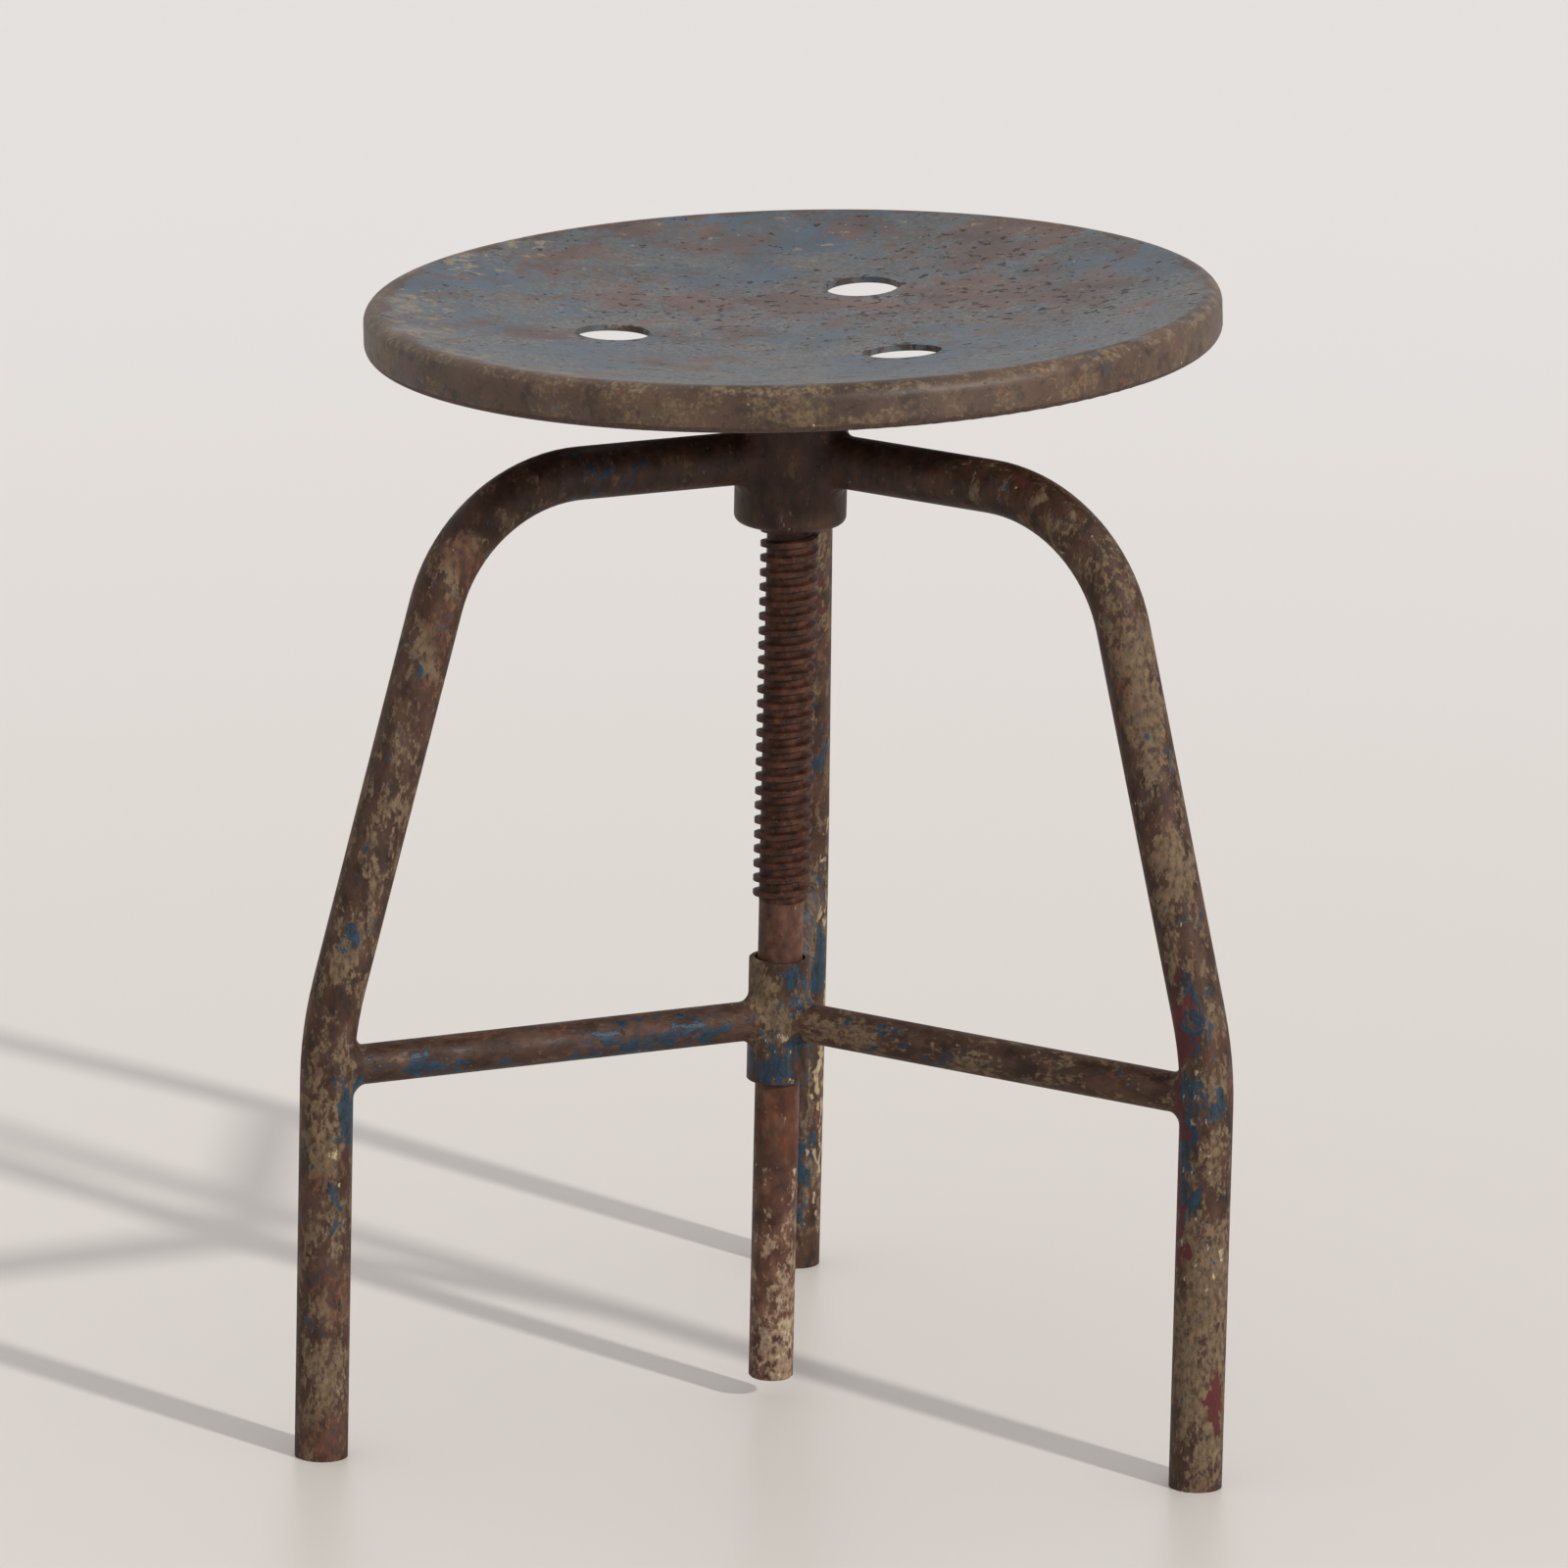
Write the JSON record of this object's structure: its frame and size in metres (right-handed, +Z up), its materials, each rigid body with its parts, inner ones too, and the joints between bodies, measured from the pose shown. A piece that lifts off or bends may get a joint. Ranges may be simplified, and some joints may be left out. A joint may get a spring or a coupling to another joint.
{
  "type": "machinist stool",
  "caption": "Adjustable machinist's screw stool: a dished steel seat with round holes on a lift screw, a threaded hub, bent tube legs, round stretchers and a guide collar.",
  "frame": {"origin": "on the floor, under the middle of the stool's overall box; the spindle stands 20.6 mm in front of it, at Y = -0.020575 m", "axes": "+Z up along the spindle, +Y to the rear leg, +X to the right-hand front leg's side"},
  "size_m": [0.3702, 0.3832, 0.4653],
  "materials": {
    "seat_paint": "worn blue-grey paint with rust",
    "frame_paint": "brown, rusted, with remains of blue paint",
    "screw_steel": "evenly rusted bare steel",
    "bare_steel": "dark rusted bare steel"
  },
  "bodies": {
    "frame": {"hub_nut": "frame_paint", "guide_collar": "frame_paint", "leg_rear": "frame_paint", "stretcher_rear": "frame_paint", "hub_weld_rear": "frame_paint", "stretcher_weld_rear": "frame_paint", "collar_weld_rear": "frame_paint", "foot_plug_rear": "bare_steel", "leg_left": "frame_paint", "stretcher_left": "frame_paint", "hub_weld_left": "frame_paint", "stretcher_weld_left": "frame_paint", "collar_weld_left": "frame_paint", "foot_plug_left": "bare_steel", "leg_right": "frame_paint", "stretcher_right": "frame_paint", "hub_weld_right": "frame_paint", "stretcher_weld_right": "frame_paint", "collar_weld_right": "frame_paint", "foot_plug_right": "bare_steel"},
    "guide_rod": {"guide_rod": "screw_steel"},
    "seat": {"seat_pan": "seat_paint", "seat_flange": "bare_steel", "flange_weld": "bare_steel", "screw_weld": "bare_steel", "lift_screw": "screw_steel"}
  },
  "joints": [
    {"name": "seat_rise", "type": "slide", "parent": "frame", "child": "guide_rod", "axis": [0, 0, 1], "range_m": [0, 0.12]},
    {"name": "seat_turn", "type": "hinge", "parent": "guide_rod", "child": "seat", "pos_m": [0, -0.02057, 0.4], "axis": [0, 0, 1], "range_deg": [0, 7200]}
  ],
  "couplings": [
    {"joint": "seat_rise", "follows": "seat_turn", "m_per_rad": 0.00095493}
  ]
}
